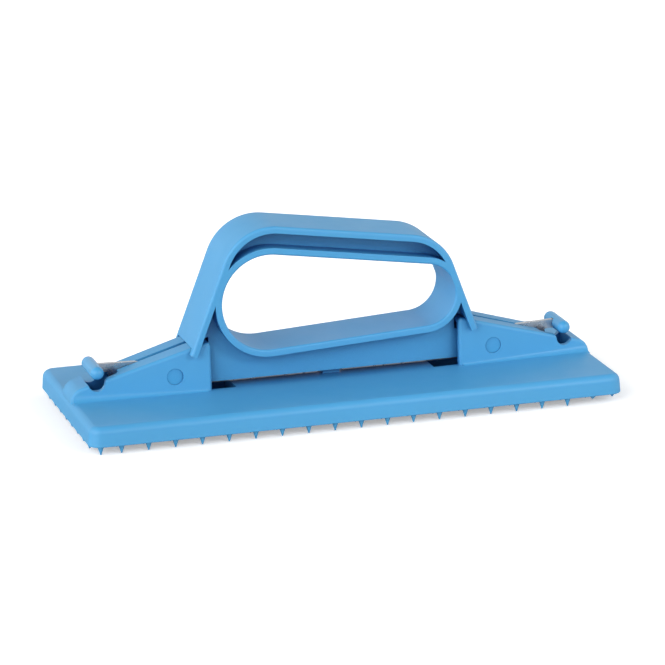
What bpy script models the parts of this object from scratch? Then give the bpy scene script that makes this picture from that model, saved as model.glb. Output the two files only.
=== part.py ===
# Scouring pad holder: a ribbed, spiked plate with two hollow housings, a double-loop
# handle that snaps between the housings, and two pivoting steel clamp levers.

import math

import bmesh
import bpy
from mathutils import Matrix

MM = 0.001

# Plate, heights measured from the underside of its rim
PLATE_LENGTH = 235.0
PLATE_WIDTH = 98.0
PLATE_HEIGHT = 8.5
PLATE_CORNER = 5.2
PLATE_EDGE = 3.0
PLATE_DRAFT = 0.55
PLATE_SKIN = 3.0
EMBED = 2.0

# Spikes and ribs under the plate
SPIKE_HEIGHT = 3.6
SPIKE_END_HEIGHT = 3.1
SPIKE_BASE = 1.5
SPIKE_TIP = 0.35
SPIKE_ROOT = 0.4
SPIKE_SIDES = 8
SPIKE_PITCH_X = 11.55
SPIKE_PITCH_Y = 10.85
SPIKE_END_INSET = 2.0
SPIKE_CORNER_INSET = 4.67
SPIKE_SIDE_INSET = 2.145
RIB = 3.2
RIB_EVERY = 3

# Housings, placed from the ends of the plate
HOUSING_LENGTH = 62.1
HOUSING_INNER = PLATE_LENGTH / 2.0 - HOUSING_LENGTH
HOUSING_HALF = 11.1
HOUSING_TAPER = 0.055
HOUSING_DRAFT = 0.04
HOUSING_WALL = 2.6
HOUSING_TOP = 30.1
HOUSING_SLOPE = 0.285
HOUSING_ROUND = 1.3
HOUSING_CORNER = 1.6
NOSE_INSET = 7.6
NOSE_RADIUS = 6.5
NOSE_ACROSS = PLATE_LENGTH / 2.0 - NOSE_INSET
NOSE_TOP = HOUSING_TOP - HOUSING_SLOPE * (NOSE_ACROSS - HOUSING_INNER)
NOSE_CENTRE = (NOSE_ACROSS, NOSE_TOP - NOSE_RADIUS * math.hypot(1.0, HOUSING_SLOPE))
NOSE_DEPTH = 9.6
COVE_INNER = 1.2
COVE_OUTER = 3.2
COVE_SINK = 0.04
OPENING_LENGTH = 55.9
OPENING_OUTER = NOSE_CENTRE[0] - NOSE_DEPTH
OPENING_INNER = OPENING_OUTER - OPENING_LENGTH
OPENING_HALF = HOUSING_HALF - HOUSING_WALL
CORE_LENGTH = 7.6
CORE_TOP = 6.0
WELL_LENGTH = 8.0
BEARING_WALL = 1.8
SLOT_FLOOR = 13.4
POCKET_LENGTH = 5.7
POCKET_HALF = 6.0
LIP_ROUND = 2.0

# Clamp levers, placed from their pivots
PIVOT_INSET = 29.0
PIVOT = (OPENING_OUTER - PIVOT_INSET, 15.9)
PIN_RADIUS = 3.45
PIN_RECESS = 0.5
PIN_CHAMFER = 0.4
BLADE = 2.0
BLADE_HEIGHT = 5.0
BLADE_INBOARD = 3.3
GRIP_REACH = 33.3
GRIP_CENTRE = (PIVOT[0] + GRIP_REACH, 20.2)
GRIP_RADIUS = 2.9
GRIP_LENGTH = 22.0
TAB_HALF = 1.95
TAB_OVERLAP = 0.6
ARM_TIP = 5.0
ARM_LIFT = 0.3
ARM_HEIGHT = 2.9
ARM_RISE = 1.0
ARM_BEND = (5.3, 11.3)
ARM_OUTBOARD = 5.7
CLAW_TIP = -1.6
CLAW_TIP_WIDTH = 0.8
CLAW_ROOT = 12.6
CLAW_PITCH = 9.2
CLAW_GAP = (3.5, 5.3)
CLAW_TOP = 15.0

# Handle, its ends placed from the housings
HANDLE_HALF = 14.3
BAND = 3.0
RING_BAND = 3.0
BAND_ROUND = 1.1
LEG_LEFT = (HOUSING_INNER + 19.5, 0.393)
LEG_RIGHT = (HOUSING_INNER + 17.0, 0.36)
STRAP_TOP = 74.55
STRAP_SLOPE = 0.15
STRAP_LEFT_ROUND = 22.8
STRAP_RIGHT_ROUND = 22.5
FOOT_HEIGHT = 25.3
RING_LEFT_INSET = 25.6
RING_LEFT = (RING_LEFT_INSET - HOUSING_INNER, 45.5)
RING_LEFT_RADIUS = 20.8
RING_RIGHT_INSET = 15.8
RING_RIGHT = (HOUSING_INNER - RING_RIGHT_INSET, 42.2)
RING_RIGHT_RADIUS = 13.7
WEB_HALF = 6.0
WEB_SKIN = 2.4
WEB_BOTTOM = 10.8
WEB_CEILING = 21.0
TONGUE_LENGTH = 6.3
TONGUE_END = HOUSING_INNER + TONGUE_LENGTH
TONGUE_TOP = 23.7
BARB_LENGTH = 1.8
BARB_START = TONGUE_END - BARB_LENGTH
BARB_TOP = 25.1
POST_HALF_LENGTH = 3.75
POST_HALF_WIDTH = 3.0
POST_TOP = 17.0

# Clearances
GAP = 0.3
BLADE_GAP = 0.4
PIN_GAP = 0.15
NOTCH_GAP = 0.8
GRIP_SLOT_GAP = 0.2
REACH = PLATE_WIDTH / 2.0

# Colours, roughness and metal of the surfaces
BLUE = (0.068, 0.318, 0.638, 1.0)
STEEL = (0.42, 0.43, 0.45, 1.0)


def clear_scene():
    for item in list(bpy.data.objects):
        bpy.data.objects.remove(item, do_unlink=True)


def make_collection(name):
    collection = bpy.data.collections.new(name)
    bpy.context.scene.collection.children.link(collection)
    return collection


def make_material(name, colour, roughness, metallic):
    material = bpy.data.materials.new(name)
    material.use_nodes = True
    shader = material.node_tree.nodes["Principled BSDF"]
    shader.inputs["Base Color"].default_value = colour
    shader.inputs["Roughness"].default_value = roughness
    shader.inputs["Metallic"].default_value = metallic
    material.diffuse_color = colour
    return material


def add_object(name, mesh, collection, origin=(0.0, 0.0)):
    item = bpy.data.objects.new(name, mesh)
    item.location = (origin[0] * MM, 0.0, (origin[1] + SPIKE_HEIGHT) * MM)
    collection.objects.link(item)
    return item


def add_tool(name, mesh, tools, origin=(0.0, 0.0)):
    item = add_object(name, mesh, tools, origin)
    item.hide_render = True
    item.display_type = "WIRE"
    return item


def finish_part(item, material):
    item.data.materials.append(material)
    item.data.shade_smooth()
    item.data.set_sharp_from_angle(angle=math.radians(32.0))


def boolean(target, tool, operation):
    modifier = target.modifiers.new(f"{operation.lower()}_{tool.name}", "BOOLEAN")
    modifier.operation = operation
    modifier.object = tool
    modifier.solver = "MANIFOLD"


def bevel(target, width, segments, method):
    modifier = target.modifiers.new("edge_rounding", "BEVEL")
    modifier.width = width * MM
    modifier.segments = segments
    modifier.limit_method = method
    modifier.angle_limit = math.radians(40.0)
    modifier.use_clamp_overlap = True


def arc(centre, radius, start, end, steps):
    points = []
    for step in range(steps + 1):
        angle = math.radians(start + (end - start) * step / steps)
        points.append((centre[0] + radius * math.cos(angle), centre[1] + radius * math.sin(angle)))
    return points


def rounded_corner(corner, before, after, radius, inset, steps):
    turn = math.atan2(before[0] * after[1] - before[1] * after[0],
                      before[0] * after[0] + before[1] * after[1])
    reach = radius * math.tan(abs(turn) / 2.0)
    start = (corner[0] - before[0] * reach, corner[1] - before[1] * reach)
    inward = (before[1], -before[0])
    centre = (start[0] + inward[0] * radius, start[1] + inward[1] * radius)
    first = math.degrees(math.atan2(-inward[1], -inward[0]))
    return arc(centre, radius - inset, first, first + math.degrees(turn), steps)


def unit(across, height):
    length = math.hypot(across, height)
    return (across / length, height / length)


def stacked_mesh(name, sections):
    shape = bmesh.new()
    rings = [[shape.verts.new([value * MM for value in point]) for point in section]
             for section in sections]
    for first, second in zip(rings, rings[1:]):
        for index in range(len(first)):
            after = (index + 1) % len(first)
            shape.faces.new((first[index], first[after], second[after], second[index]))
    shape.faces.new(rings[0])
    shape.faces.new(rings[-1])
    bmesh.ops.recalc_face_normals(shape, faces=shape.faces)
    mesh = bpy.data.meshes.new(name)
    shape.to_mesh(mesh)
    shape.free()
    return mesh


def mesh_from_curve(name, loops, depth, upright):
    curve = bpy.data.curves.new(name, "CURVE")
    curve.dimensions = "2D"
    curve.fill_mode = "BOTH"
    curve.extrude = depth * MM / 2.0
    for loop in loops:
        spline = curve.splines.new("POLY")
        spline.points.add(len(loop) - 1)
        for point, (across, along) in zip(spline.points, loop):
            point.co = (across * MM, along * MM, 0.0, 1.0)
        spline.use_cyclic_u = True
    holder = bpy.data.objects.new(name, curve)
    bpy.context.scene.collection.objects.link(holder)
    if upright:
        holder.rotation_euler = (math.radians(90.0), 0.0, 0.0)
    bpy.context.view_layer.update()
    graph = bpy.context.evaluated_depsgraph_get()
    mesh = bpy.data.meshes.new_from_object(holder.evaluated_get(graph))
    mesh.transform(holder.matrix_world)
    bpy.data.objects.remove(holder, do_unlink=True)
    mesh.name = name
    shape = bmesh.new()
    shape.from_mesh(mesh)
    bmesh.ops.remove_doubles(shape, verts=shape.verts, dist=MM / 1000.0)
    if len(loops) == 1:
        flat = math.radians(0.1)
        bmesh.ops.dissolve_limit(shape, angle_limit=flat, verts=shape.verts, edges=shape.edges)
    bmesh.ops.recalc_face_normals(shape, faces=shape.faces)
    shape.to_mesh(mesh)
    shape.free()
    return mesh


def upright_prism(name, loops, half_depth):
    return mesh_from_curve(name, loops, half_depth * 2.0, True)


def add_box(shape, x_range, y_range, z_range):
    ranges = (x_range, y_range, z_range)
    centre = [(low + high) * MM / 2.0 for low, high in ranges]
    size = [(high - low) * MM for low, high in ranges]
    matrix = Matrix.Translation(centre) @ Matrix.Diagonal((*size, 1.0))
    bmesh.ops.create_cube(shape, size=1.0, matrix=matrix)


def boxes_mesh(name, boxes):
    shape = bmesh.new()
    for x_range, y_range, z_range in boxes:
        add_box(shape, x_range, y_range, z_range)
    mesh = bpy.data.meshes.new(name)
    shape.to_mesh(mesh)
    shape.free()
    return mesh


def cross_cylinder_mesh(name, radius, half_depth, sides):
    shape = bmesh.new()
    turn = Matrix.Rotation(math.radians(90.0), 4, "X")
    bmesh.ops.create_cone(
        shape, cap_ends=True, segments=sides, radius1=radius * MM, radius2=radius * MM,
        depth=half_depth * 2.0 * MM, matrix=turn)
    mesh = bpy.data.meshes.new(name)
    shape.to_mesh(mesh)
    shape.free()
    return mesh


def ordered(side, low, high):
    return (low, high) if side > 0 else (-high, -low)


def mirrored(points, side):
    return [(side * across, height) for across, height in points]


def relative(points, origin):
    return [(across - origin[0], height - origin[1]) for across, height in points]


def housing_top(across):
    return HOUSING_TOP - HOUSING_SLOPE * (across - HOUSING_INNER)


def housing_half(across):
    return HOUSING_HALF - HOUSING_TAPER * (across - HOUSING_INNER)


def drafted_half(across, height):
    return housing_half(across) + HOUSING_DRAFT * (HOUSING_TOP - height)


def housing_ceiling(across):
    return housing_top(across) - HOUSING_WALL * math.hypot(1.0, HOUSING_SLOPE)


def weight_edges(mesh, chosen):
    shape = bmesh.new()
    shape.from_mesh(mesh)
    layer = shape.edges.layers.float.new("bevel_weight_edge")
    for edge in shape.edges:
        if chosen(edge.verts[0].co / MM, edge.verts[1].co / MM):
            edge[layer] = 1.0
    shape.to_mesh(mesh)
    shape.free()


# Plate
def plate_mesh():
    half_length = PLATE_LENGTH / 2.0 - PLATE_CORNER
    half_width = PLATE_WIDTH / 2.0 - PLATE_CORNER
    outline = []
    for centre, start in (
            ((half_length, half_width), 0.0), ((-half_length, half_width), 90.0),
            ((-half_length, -half_width), 180.0), ((half_length, -half_width), 270.0)):
        outline += arc(centre, PLATE_CORNER, start, start + 90.0, 6)
    mesh = mesh_from_curve("base_plate", [outline], PLATE_HEIGHT, False)
    mesh.transform(Matrix.Translation((0.0, 0.0, PLATE_HEIGHT * MM / 2.0)))
    middle = PLATE_HEIGHT / 2.0
    shrink_x = 1.0 - 2.0 * PLATE_DRAFT / PLATE_LENGTH
    shrink_y = 1.0 - 2.0 * PLATE_DRAFT / PLATE_WIDTH
    for vertex in mesh.vertices:
        if vertex.co.z > middle * MM:
            vertex.co.x *= shrink_x
            vertex.co.y *= shrink_y
    weight_edges(mesh, lambda first, second: min(first.z, second.z) > middle)
    return mesh


def spike_lines(pitch, offset, outermost):
    count = math.floor(outermost / pitch + 0.5 - offset)
    lines = [pitch * (step + offset) for step in range(count)] + [outermost]
    return sorted({-line for line in lines} | set(lines))


def spike_columns(inset):
    return spike_lines(SPIKE_PITCH_X, 0.0, PLATE_LENGTH / 2.0 - inset)


def spike_rows():
    return spike_lines(SPIKE_PITCH_Y, 0.5, PLATE_WIDTH / 2.0 - SPIKE_SIDE_INSET)


def spikes_mesh():
    shape = bmesh.new()
    rows = spike_rows()
    core_end = OPENING_OUTER + HOUSING_WALL + CORE_LENGTH
    for along in rows:
        edge_row = along in (rows[0], rows[-1])
        columns = spike_columns(SPIKE_CORNER_INSET if edge_row else SPIKE_END_INSET)
        for across in columns:
            if abs(along) < OPENING_HALF and OPENING_INNER < abs(across) < core_end:
                continue
            at_end = not edge_row and across in (columns[0], columns[-1])
            height = SPIKE_END_HEIGHT if at_end else SPIKE_HEIGHT
            level = (SPIKE_ROOT - height) / 2.0
            bmesh.ops.create_cone(
                shape, cap_ends=True, segments=SPIKE_SIDES, radius1=SPIKE_TIP * MM,
                radius2=SPIKE_BASE * MM, depth=(height + SPIKE_ROOT) * MM,
                matrix=Matrix.Translation((across * MM, along * MM, level * MM)))
    mesh = bpy.data.meshes.new("spikes")
    shape.to_mesh(mesh)
    shape.free()
    return mesh


def gaps_between(lines):
    half_rib = RIB / 2.0
    return [(low + half_rib, high - half_rib) for low, high in zip(lines, lines[1:])]


def cell_boxes():
    end = PLATE_LENGTH / 2.0 - SPIKE_CORNER_INSET
    cross_ribs = spike_lines(SPIKE_PITCH_X * RIB_EVERY, 0.0, end)
    frame = OPENING_HALF + RIB
    boxes = []
    for x_low, x_high in gaps_between(cross_ribs):
        for y_low, y_high in gaps_between(spike_rows()):
            beside_opening = max(abs(x_low), abs(x_high)) > OPENING_INNER
            middle_row = y_low < 0.0 < y_high
            if beside_opening and middle_row:
                if min(abs(x_low), abs(x_high)) > OPENING_INNER:
                    continue
                limit = OPENING_INNER - RIB
                x_low = max(x_low, -limit)
                x_high = min(x_high, limit)
            if beside_opening and 0.0 < y_low < frame:
                y_low = frame
            if beside_opening and -frame < y_high < 0.0:
                y_high = -frame
            boxes.append(((x_low, x_high), (y_low, y_high), (-EMBED, PLATE_HEIGHT - PLATE_SKIN)))
    return boxes


# Housings
def taper(mesh, half):
    narrower = HOUSING_HALF - half
    for vertex in mesh.vertices:
        wall = drafted_half(abs(vertex.co.x) / MM, vertex.co.z / MM)
        vertex.co.y *= (wall - narrower) / half


def housing_outline(inset):
    foot = PLATE_HEIGHT - EMBED
    corner = rounded_corner((HOUSING_INNER, HOUSING_TOP), (0.0, 1.0), unit(1.0, -HOUSING_SLOPE),
                            HOUSING_CORNER, inset, 3)
    slope = math.degrees(math.atan(HOUSING_SLOPE))
    nose = arc(NOSE_CENTRE, NOSE_RADIUS - inset, 90.0 - slope, 0.0, 7)
    return [(HOUSING_INNER + inset, foot)] + corner + nose + [(nose[-1][0], foot)]


def housing_sections(side):
    steps = [math.radians(30.0 * step) for step in range(4)]
    rounded = [(HOUSING_HALF - HOUSING_ROUND * (1.0 - math.sin(angle)),
                HOUSING_ROUND * (1.0 - math.cos(angle))) for angle in steps]
    halves = [(-along, inset) for along, inset in reversed(rounded)] + rounded
    return [[(across, along, height) for across, height in mirrored(housing_outline(inset), side)]
            for along, inset in halves]


def cove_section(across, radius, side, face):
    wall = drafted_half(across, PLATE_HEIGHT) - COVE_SINK
    curve = arc((wall + radius, PLATE_HEIGHT + radius), radius, 180.0, 270.0, 3)
    outline = [(wall - EMBED / 2.0, PLATE_HEIGHT - EMBED), (wall - EMBED / 2.0, curve[0][1])]
    outline += curve + [(curve[-1][0], PLATE_HEIGHT - EMBED)]
    return [(side * across, face * (along - HOUSING_DRAFT * (height - PLATE_HEIGHT)), height)
            for along, height in outline]


def add_housing(side, tools):
    mesh = stacked_mesh("housing_body", housing_sections(side))
    taper(mesh, HOUSING_HALF)
    housing = add_tool("housing_body", mesh, tools)
    start, end = HOUSING_INNER + HOUSING_CORNER, NOSE_ACROSS + NOSE_RADIUS
    outline = mirrored(housing_outline(HOUSING_ROUND / 2.0), side)
    for face in (-1, 1):
        sections = [cove_section(start, COVE_INNER, side, face), cove_section(end, COVE_OUTER, side, face)]
        cove = add_tool("cove", stacked_mesh("cove", sections), tools)
        limit = upright_prism("cove_limit", [outline], HOUSING_HALF + HANDLE_HALF)
        boolean(cove, add_tool("cove_limit", limit, tools), "INTERSECT")
        boolean(housing, cove, "UNION")
    return housing


def interior_outline():
    below = -REACH
    return [
        (OPENING_INNER, below), (OPENING_OUTER, below),
        (OPENING_OUTER, housing_ceiling(OPENING_OUTER)),
        (OPENING_INNER, housing_ceiling(OPENING_INNER))]


def bearing_outline():
    radius = PIN_RADIUS + PIN_GAP + BEARING_WALL
    low, high = PIVOT[0] - radius, PIVOT[0] + radius
    bottom = arc(PIVOT, radius, 180.0, 360.0, 12)
    return bottom + [(high, housing_ceiling(high) + HOUSING_WALL / 2.0),
                     (low, housing_ceiling(low) + HOUSING_WALL / 2.0)]


def notch_outline():
    radius = GRIP_RADIUS + NOTCH_GAP
    reach = math.hypot(GRIP_CENTRE[0] - PIVOT[0], GRIP_CENTRE[1] - PIVOT[1])
    centre = (PIVOT[0] + reach, PIVOT[1])
    inner = centre[0] - radius
    lip = (inner - LIP_ROUND, housing_top(inner - LIP_ROUND) - LIP_ROUND)
    floor = arc(centre, radius, 180.0, 360.0, 14)
    top = housing_top(inner) + REACH
    lip_arc = arc(lip, LIP_ROUND, 90.0, 0.0, 4)
    return floor + [(floor[-1][0], top), (lip[0], top)] + lip_arc


def cut_housing(plate, side, tools):
    interior = upright_prism("interior", [mirrored(interior_outline(), side)], OPENING_HALF)
    taper(interior, OPENING_HALF)
    boolean(plate, add_tool("interior", interior, tools), "DIFFERENCE")
    core_start = OPENING_OUTER + HOUSING_WALL
    core = boxes_mesh("nose_core", [(
        ordered(side, core_start, core_start + CORE_LENGTH), (-OPENING_HALF, OPENING_HALF),
        (-REACH, CORE_TOP))])
    taper(core, OPENING_HALF)
    boolean(plate, add_tool("nose_core", core, tools), "DIFFERENCE")
    well = boxes_mesh("notch_well", [(
        ordered(side, OPENING_OUTER - GAP, OPENING_OUTER + WELL_LENGTH), (-OPENING_HALF, OPENING_HALF),
        (PLATE_HEIGHT, REACH))])
    taper(well, OPENING_HALF)
    boolean(plate, add_tool("notch_well", well, tools), "DIFFERENCE")


def add_bearings(plate, side, tools):
    outline = mirrored(bearing_outline(), side)
    wall = OPENING_HALF + HOUSING_WALL / 2.0
    for face in (-1, 1):
        half = (wall - HOUSING_WALL / 4.0 - BLADE / 2.0 - BLADE_GAP) / 2.0
        mesh = upright_prism("bearing", [outline], half)
        shift = face * (BLADE / 2.0 + BLADE_GAP + half) * MM
        mesh.transform(Matrix.Translation((0.0, shift, 0.0)))
        boolean(plate, add_tool("bearing", mesh, tools), "UNION")
    ledge = boxes_mesh("snap_ledge", [(
        ordered(side, BARB_START - GAP - HOUSING_WALL, BARB_START - GAP), (-wall, wall),
        (TONGUE_TOP + GAP, housing_ceiling(BARB_START) + HOUSING_WALL / 2.0))])
    boolean(plate, add_tool("snap_ledge", ledge, tools), "UNION")


def cut_slots(plate, side, tools):
    notch = upright_prism("notch", [mirrored(notch_outline(), side)], HOUSING_HALF + EMBED)
    boolean(plate, add_tool("notch", notch, tools), "DIFFERENCE")
    half_slot = BLADE / 2.0 + BLADE_GAP
    slot_inner = PIVOT[0] - BLADE_INBOARD - BLADE_HEIGHT
    slot = boxes_mesh("blade_slot", [(
        ordered(side, slot_inner, OPENING_OUTER + HOUSING_WALL), (-half_slot, half_slot),
        (SLOT_FLOOR, REACH))])
    boolean(plate, add_tool("blade_slot", slot, tools), "DIFFERENCE")
    pocket = boxes_mesh("pocket", [(
        ordered(side, OPENING_OUTER - POCKET_LENGTH, OPENING_OUTER), (-POCKET_HALF, POCKET_HALF),
        (SLOT_FLOOR, REACH))])
    boolean(plate, add_tool("pocket", pocket, tools), "DIFFERENCE")
    bore = cross_cylinder_mesh("pin_bore", PIN_RADIUS + PIN_GAP, HOUSING_HALF + EMBED, 32)
    tool = add_tool("pin_bore", bore, tools, (side * PIVOT[0], PIVOT[1]))
    boolean(plate, tool, "DIFFERENCE")


def add_base_plate(parts, tools, material):
    plate = add_object("base_plate", plate_mesh(), parts)
    bevel(plate, PLATE_EDGE, 4, "WEIGHT")
    boolean(plate, add_tool("cells", boxes_mesh("cells", cell_boxes()), tools), "DIFFERENCE")
    for side in (-1, 1):
        boolean(plate, add_housing(side, tools), "UNION")
        cut_housing(plate, side, tools)
        add_bearings(plate, side, tools)
        cut_slots(plate, side, tools)
    post = boxes_mesh("centre_post", [(
        (-POST_HALF_LENGTH, POST_HALF_LENGTH), (-POST_HALF_WIDTH, POST_HALF_WIDTH),
        (PLATE_HEIGHT - EMBED, POST_TOP))])
    boolean(plate, add_tool("centre_post", post, tools), "UNION")
    boolean(plate, add_tool("spikes", spikes_mesh(), tools), "UNION")
    finish_part(plate, material)


# Handle
def leg_corner(side, leg):
    at_rim, lean = leg
    top = (STRAP_TOP - side * STRAP_SLOPE * at_rim) / (1.0 - side * STRAP_SLOPE * lean)
    return (side * (at_rim - lean * top), top)


def leg_foot(side, leg, inset):
    at_rim, lean = leg
    up = unit(lean, 1.0)
    return (side * (at_rim - lean * FOOT_HEIGHT - inset * up[1]), FOOT_HEIGHT - inset * up[0])


def strap_path(inset):
    up = unit(LEG_LEFT[1], 1.0)
    along = unit(1.0, -STRAP_SLOPE)
    down = unit(LEG_RIGHT[1], -1.0)
    left = rounded_corner(leg_corner(-1, LEG_LEFT), up, along, STRAP_LEFT_ROUND, inset, 10)
    right = rounded_corner(leg_corner(1, LEG_RIGHT), along, down, STRAP_RIGHT_ROUND, inset, 8)
    return [leg_foot(-1, LEG_LEFT, inset)] + left + right + [leg_foot(1, LEG_RIGHT, inset)]


def ring_path(outset):
    span = (RING_RIGHT[0] - RING_LEFT[0], RING_RIGHT[1] - RING_LEFT[1])
    tilt = math.degrees(math.atan2(span[1], span[0]))
    spread = math.degrees(math.acos((RING_LEFT_RADIUS - RING_RIGHT_RADIUS) / math.hypot(*span)))
    left = arc(RING_LEFT, RING_LEFT_RADIUS + outset, tilt + spread, tilt - spread + 360.0, 22)
    right = arc(RING_RIGHT, RING_RIGHT_RADIUS + outset, tilt - spread, tilt + spread, 18)
    return left + right


def ring_limit():
    path = strap_path(BAND / 2.0)
    return path + [(path[-1][0], 0.0), (path[0][0], 0.0)]


def band_mesh(name, outer, inner, closed, rounded):
    shape = bmesh.new()
    layer = shape.edges.layers.float.new("bevel_weight_edge")
    rows = []
    for outside, inside in zip(outer, inner):
        corners = [(outside, -1), (outside, 1), (inside, 1), (inside, -1)]
        rows.append([
            shape.verts.new((across * MM, face * HANDLE_HALF * MM, height * MM))
            for (across, height), face in corners])
    pairs = list(zip(rows, rows[1:]))
    if closed:
        pairs.append((rows[-1], rows[0]))
    else:
        shape.faces.new(rows[0])
        shape.faces.new(rows[-1])
    for first, second in pairs:
        for corner in range(len(corners)):
            after = (corner + 1) % len(corners)
            shape.faces.new((first[corner], first[after], second[after], second[corner]))
        for corner in rounded:
            shape.edges.get((first[corner], second[corner]))[layer] = 1.0
    bmesh.ops.recalc_face_normals(shape, faces=shape.faces)
    mesh = bpy.data.meshes.new(name)
    shape.to_mesh(mesh)
    shape.free()
    return mesh


def web_end(leg):
    inside = leg[0] - leg[1] * HOUSING_TOP - BAND
    inner_edge = HOUSING_INNER - GAP
    lift = GAP * 2.0
    return [
        (inside, housing_top(inside) + lift), (inner_edge, housing_top(inner_edge) + lift),
        (inner_edge, TONGUE_TOP), (BARB_START, TONGUE_TOP), (BARB_START, BARB_TOP),
        (TONGUE_END - GAP, BARB_TOP), (TONGUE_END, TONGUE_TOP), (TONGUE_END, WEB_BOTTOM)]


def web_outline():
    middle = strap_path(BAND / 2.0)[1:-1]
    left_end = mirrored(web_end(LEG_LEFT), -1)
    return middle + web_end(LEG_RIGHT) + list(reversed(left_end))


def saddle_outline():
    inner_edge = HOUSING_INNER - GAP
    outer = max(LEG_LEFT[0], LEG_RIGHT[0])
    return [
        (inner_edge, PLATE_HEIGHT), (inner_edge, housing_top(inner_edge) + GAP),
        (outer, housing_top(outer) + GAP), (outer, PLATE_HEIGHT)]


def add_handle(parts, tools, material):
    strap = band_mesh("handle", strap_path(0.0), strap_path(BAND), False, (0, 1))
    handle = add_object("handle", strap, parts)
    bevel(handle, BAND_ROUND, 2, "WEIGHT")
    for side in (-1, 1):
        saddle = upright_prism("saddle", [mirrored(saddle_outline(), side)], HOUSING_HALF + GAP)
        boolean(handle, add_tool("saddle", saddle, tools), "DIFFERENCE")
    band = band_mesh("ring", ring_path(RING_BAND), ring_path(0.0), True, (2, 3))
    ring = add_tool("ring", band, tools)
    bevel(ring, BAND_ROUND, 2, "WEIGHT")
    limit = upright_prism("ring_limit", [ring_limit()], HANDLE_HALF + EMBED)
    boolean(ring, add_tool("ring_limit", limit, tools), "INTERSECT")
    boolean(handle, ring, "UNION")
    web = upright_prism("web", [web_outline(), ring_path(RING_BAND / 2.0)], WEB_HALF)
    boolean(handle, add_tool("web", web, tools), "UNION")
    hollow = WEB_HALF - WEB_SKIN
    cavity = boxes_mesh("web_cavity", [(
        (-REACH * 2.0, REACH * 2.0), (-hollow, hollow), (0.0, WEB_CEILING))])
    boolean(handle, add_tool("web_cavity", cavity, tools), "DIFFERENCE")
    finish_part(handle, material)


# Clamp levers
def claw(outer):
    inner = outer - CLAW_PITCH
    gap_start, gap_end = inner + CLAW_GAP[0], inner + CLAW_GAP[1]
    return [
        (inner, CLAW_TIP), (inner + CLAW_TIP_WIDTH, CLAW_TIP),
        (gap_start - CLAW_TIP_WIDTH, CLAW_ROOT), (gap_start, CLAW_TOP), (gap_end, CLAW_TOP),
        (gap_end + CLAW_TIP_WIDTH, CLAW_ROOT), (outer, CLAW_TIP),
        (outer + CLAW_TIP_WIDTH, CLAW_TIP)]


def lever_outline():
    rest = PLATE_HEIGHT + ARM_LIFT
    tip_round = ARM_HEIGHT / 2.0
    tip = arc((ARM_TIP + tip_round, rest + tip_round), tip_round, 90.0, 270.0, 8)
    pivot = PIVOT[0]
    top = PIVOT[1] + BLADE_HEIGHT
    claws = claw(OPENING_OUTER - BLADE_HEIGHT)
    under = [
        (pivot - ARM_BEND[1], rest), (pivot - ARM_BEND[0], rest + ARM_RISE),
        (pivot + ARM_OUTBOARD, rest + ARM_RISE), (claws[0][0] - CLAW_TIP_WIDTH, CLAW_ROOT)]
    neck = claws[-1][0] + CLAW_TIP_WIDTH
    low, high = GRIP_CENTRE[1] - TAB_HALF, GRIP_CENTRE[1] + TAB_HALF
    end = GRIP_CENTRE[0] + TAB_OVERLAP
    tab = [(neck, CLAW_TOP), (neck + TAB_HALF, low), (end, low), (end, high)]
    slope = [(claws[0][0], top + TAB_OVERLAP), (claws[0][0] - TAB_HALF, top)]
    upper = [(pivot - BLADE_INBOARD, top), (pivot - ARM_BEND[1] + CLAW_TIP_WIDTH, CLAW_TOP + CLAW_GAP[0])]
    return tip + under + claws + tab + slope + upper


def add_lever(side, name, parts, material):
    pivot = (side * PIVOT[0], PIVOT[1])
    outline = relative(mirrored(lever_outline(), side), pivot)
    hole = arc((0.0, 0.0), PIN_RADIUS + PIN_GAP, 0.0, 360.0, 32)[:-1]
    mesh = upright_prism(name, [outline, hole], BLADE / 2.0)
    item = add_object(name, mesh, parts, pivot)
    finish_part(item, material)


def add_grip(side, name, parts, tools, material):
    pivot = (side * PIVOT[0], PIVOT[1])
    straight = GRIP_LENGTH / 2.0 - GRIP_RADIUS
    upper = arc((0.0, straight), GRIP_RADIUS, 90.0, 0.0, 6)
    lower = arc((0.0, -straight), GRIP_RADIUS, 0.0, -90.0, 6)
    profile = upper + lower
    mesh = bpy.data.meshes.new(name)
    shape = bmesh.new()
    previous = None
    for radius, along in profile:
        vertex = shape.verts.new((max(radius, 0.0) * MM, 0.0, along * MM))
        if previous:
            shape.edges.new((previous, vertex))
        previous = vertex
    shape.to_mesh(mesh)
    shape.free()
    spun = bpy.data.objects.new(name, mesh)
    bpy.context.scene.collection.objects.link(spun)
    screw = spun.modifiers.new("turned", "SCREW")
    screw.axis = "Z"
    screw.angle = math.radians(360.0)
    screw.steps = 24
    screw.render_steps = 24
    screw.use_merge_vertices = True
    screw.merge_threshold = 0.00001
    screw.use_normal_calculate = True
    graph = bpy.context.evaluated_depsgraph_get()
    turned = bpy.data.meshes.new_from_object(spun.evaluated_get(graph))
    bpy.data.objects.remove(spun, do_unlink=True)
    offset = (side * (GRIP_CENTRE[0] - PIVOT[0]) * MM, 0.0, (GRIP_CENTRE[1] - PIVOT[1]) * MM)
    turned.transform(Matrix.Translation(offset) @ Matrix.Rotation(math.radians(90.0), 4, "X"))
    turned.name = name
    item = add_object(name, turned, parts, pivot)
    half_slot = BLADE / 2.0 + GRIP_SLOT_GAP
    slot = boxes_mesh("grip_slot", [(
        ordered(side, GRIP_CENTRE[0] - GRIP_RADIUS * 2.0, GRIP_CENTRE[0] + TAB_OVERLAP + GRIP_SLOT_GAP),
        (-half_slot, half_slot),
        (GRIP_CENTRE[1] - TAB_HALF - GRIP_SLOT_GAP, GRIP_CENTRE[1] + TAB_HALF + GRIP_SLOT_GAP))])
    boolean(item, add_tool("grip_slot", slot, tools), "DIFFERENCE")
    finish_part(item, material)


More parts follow.
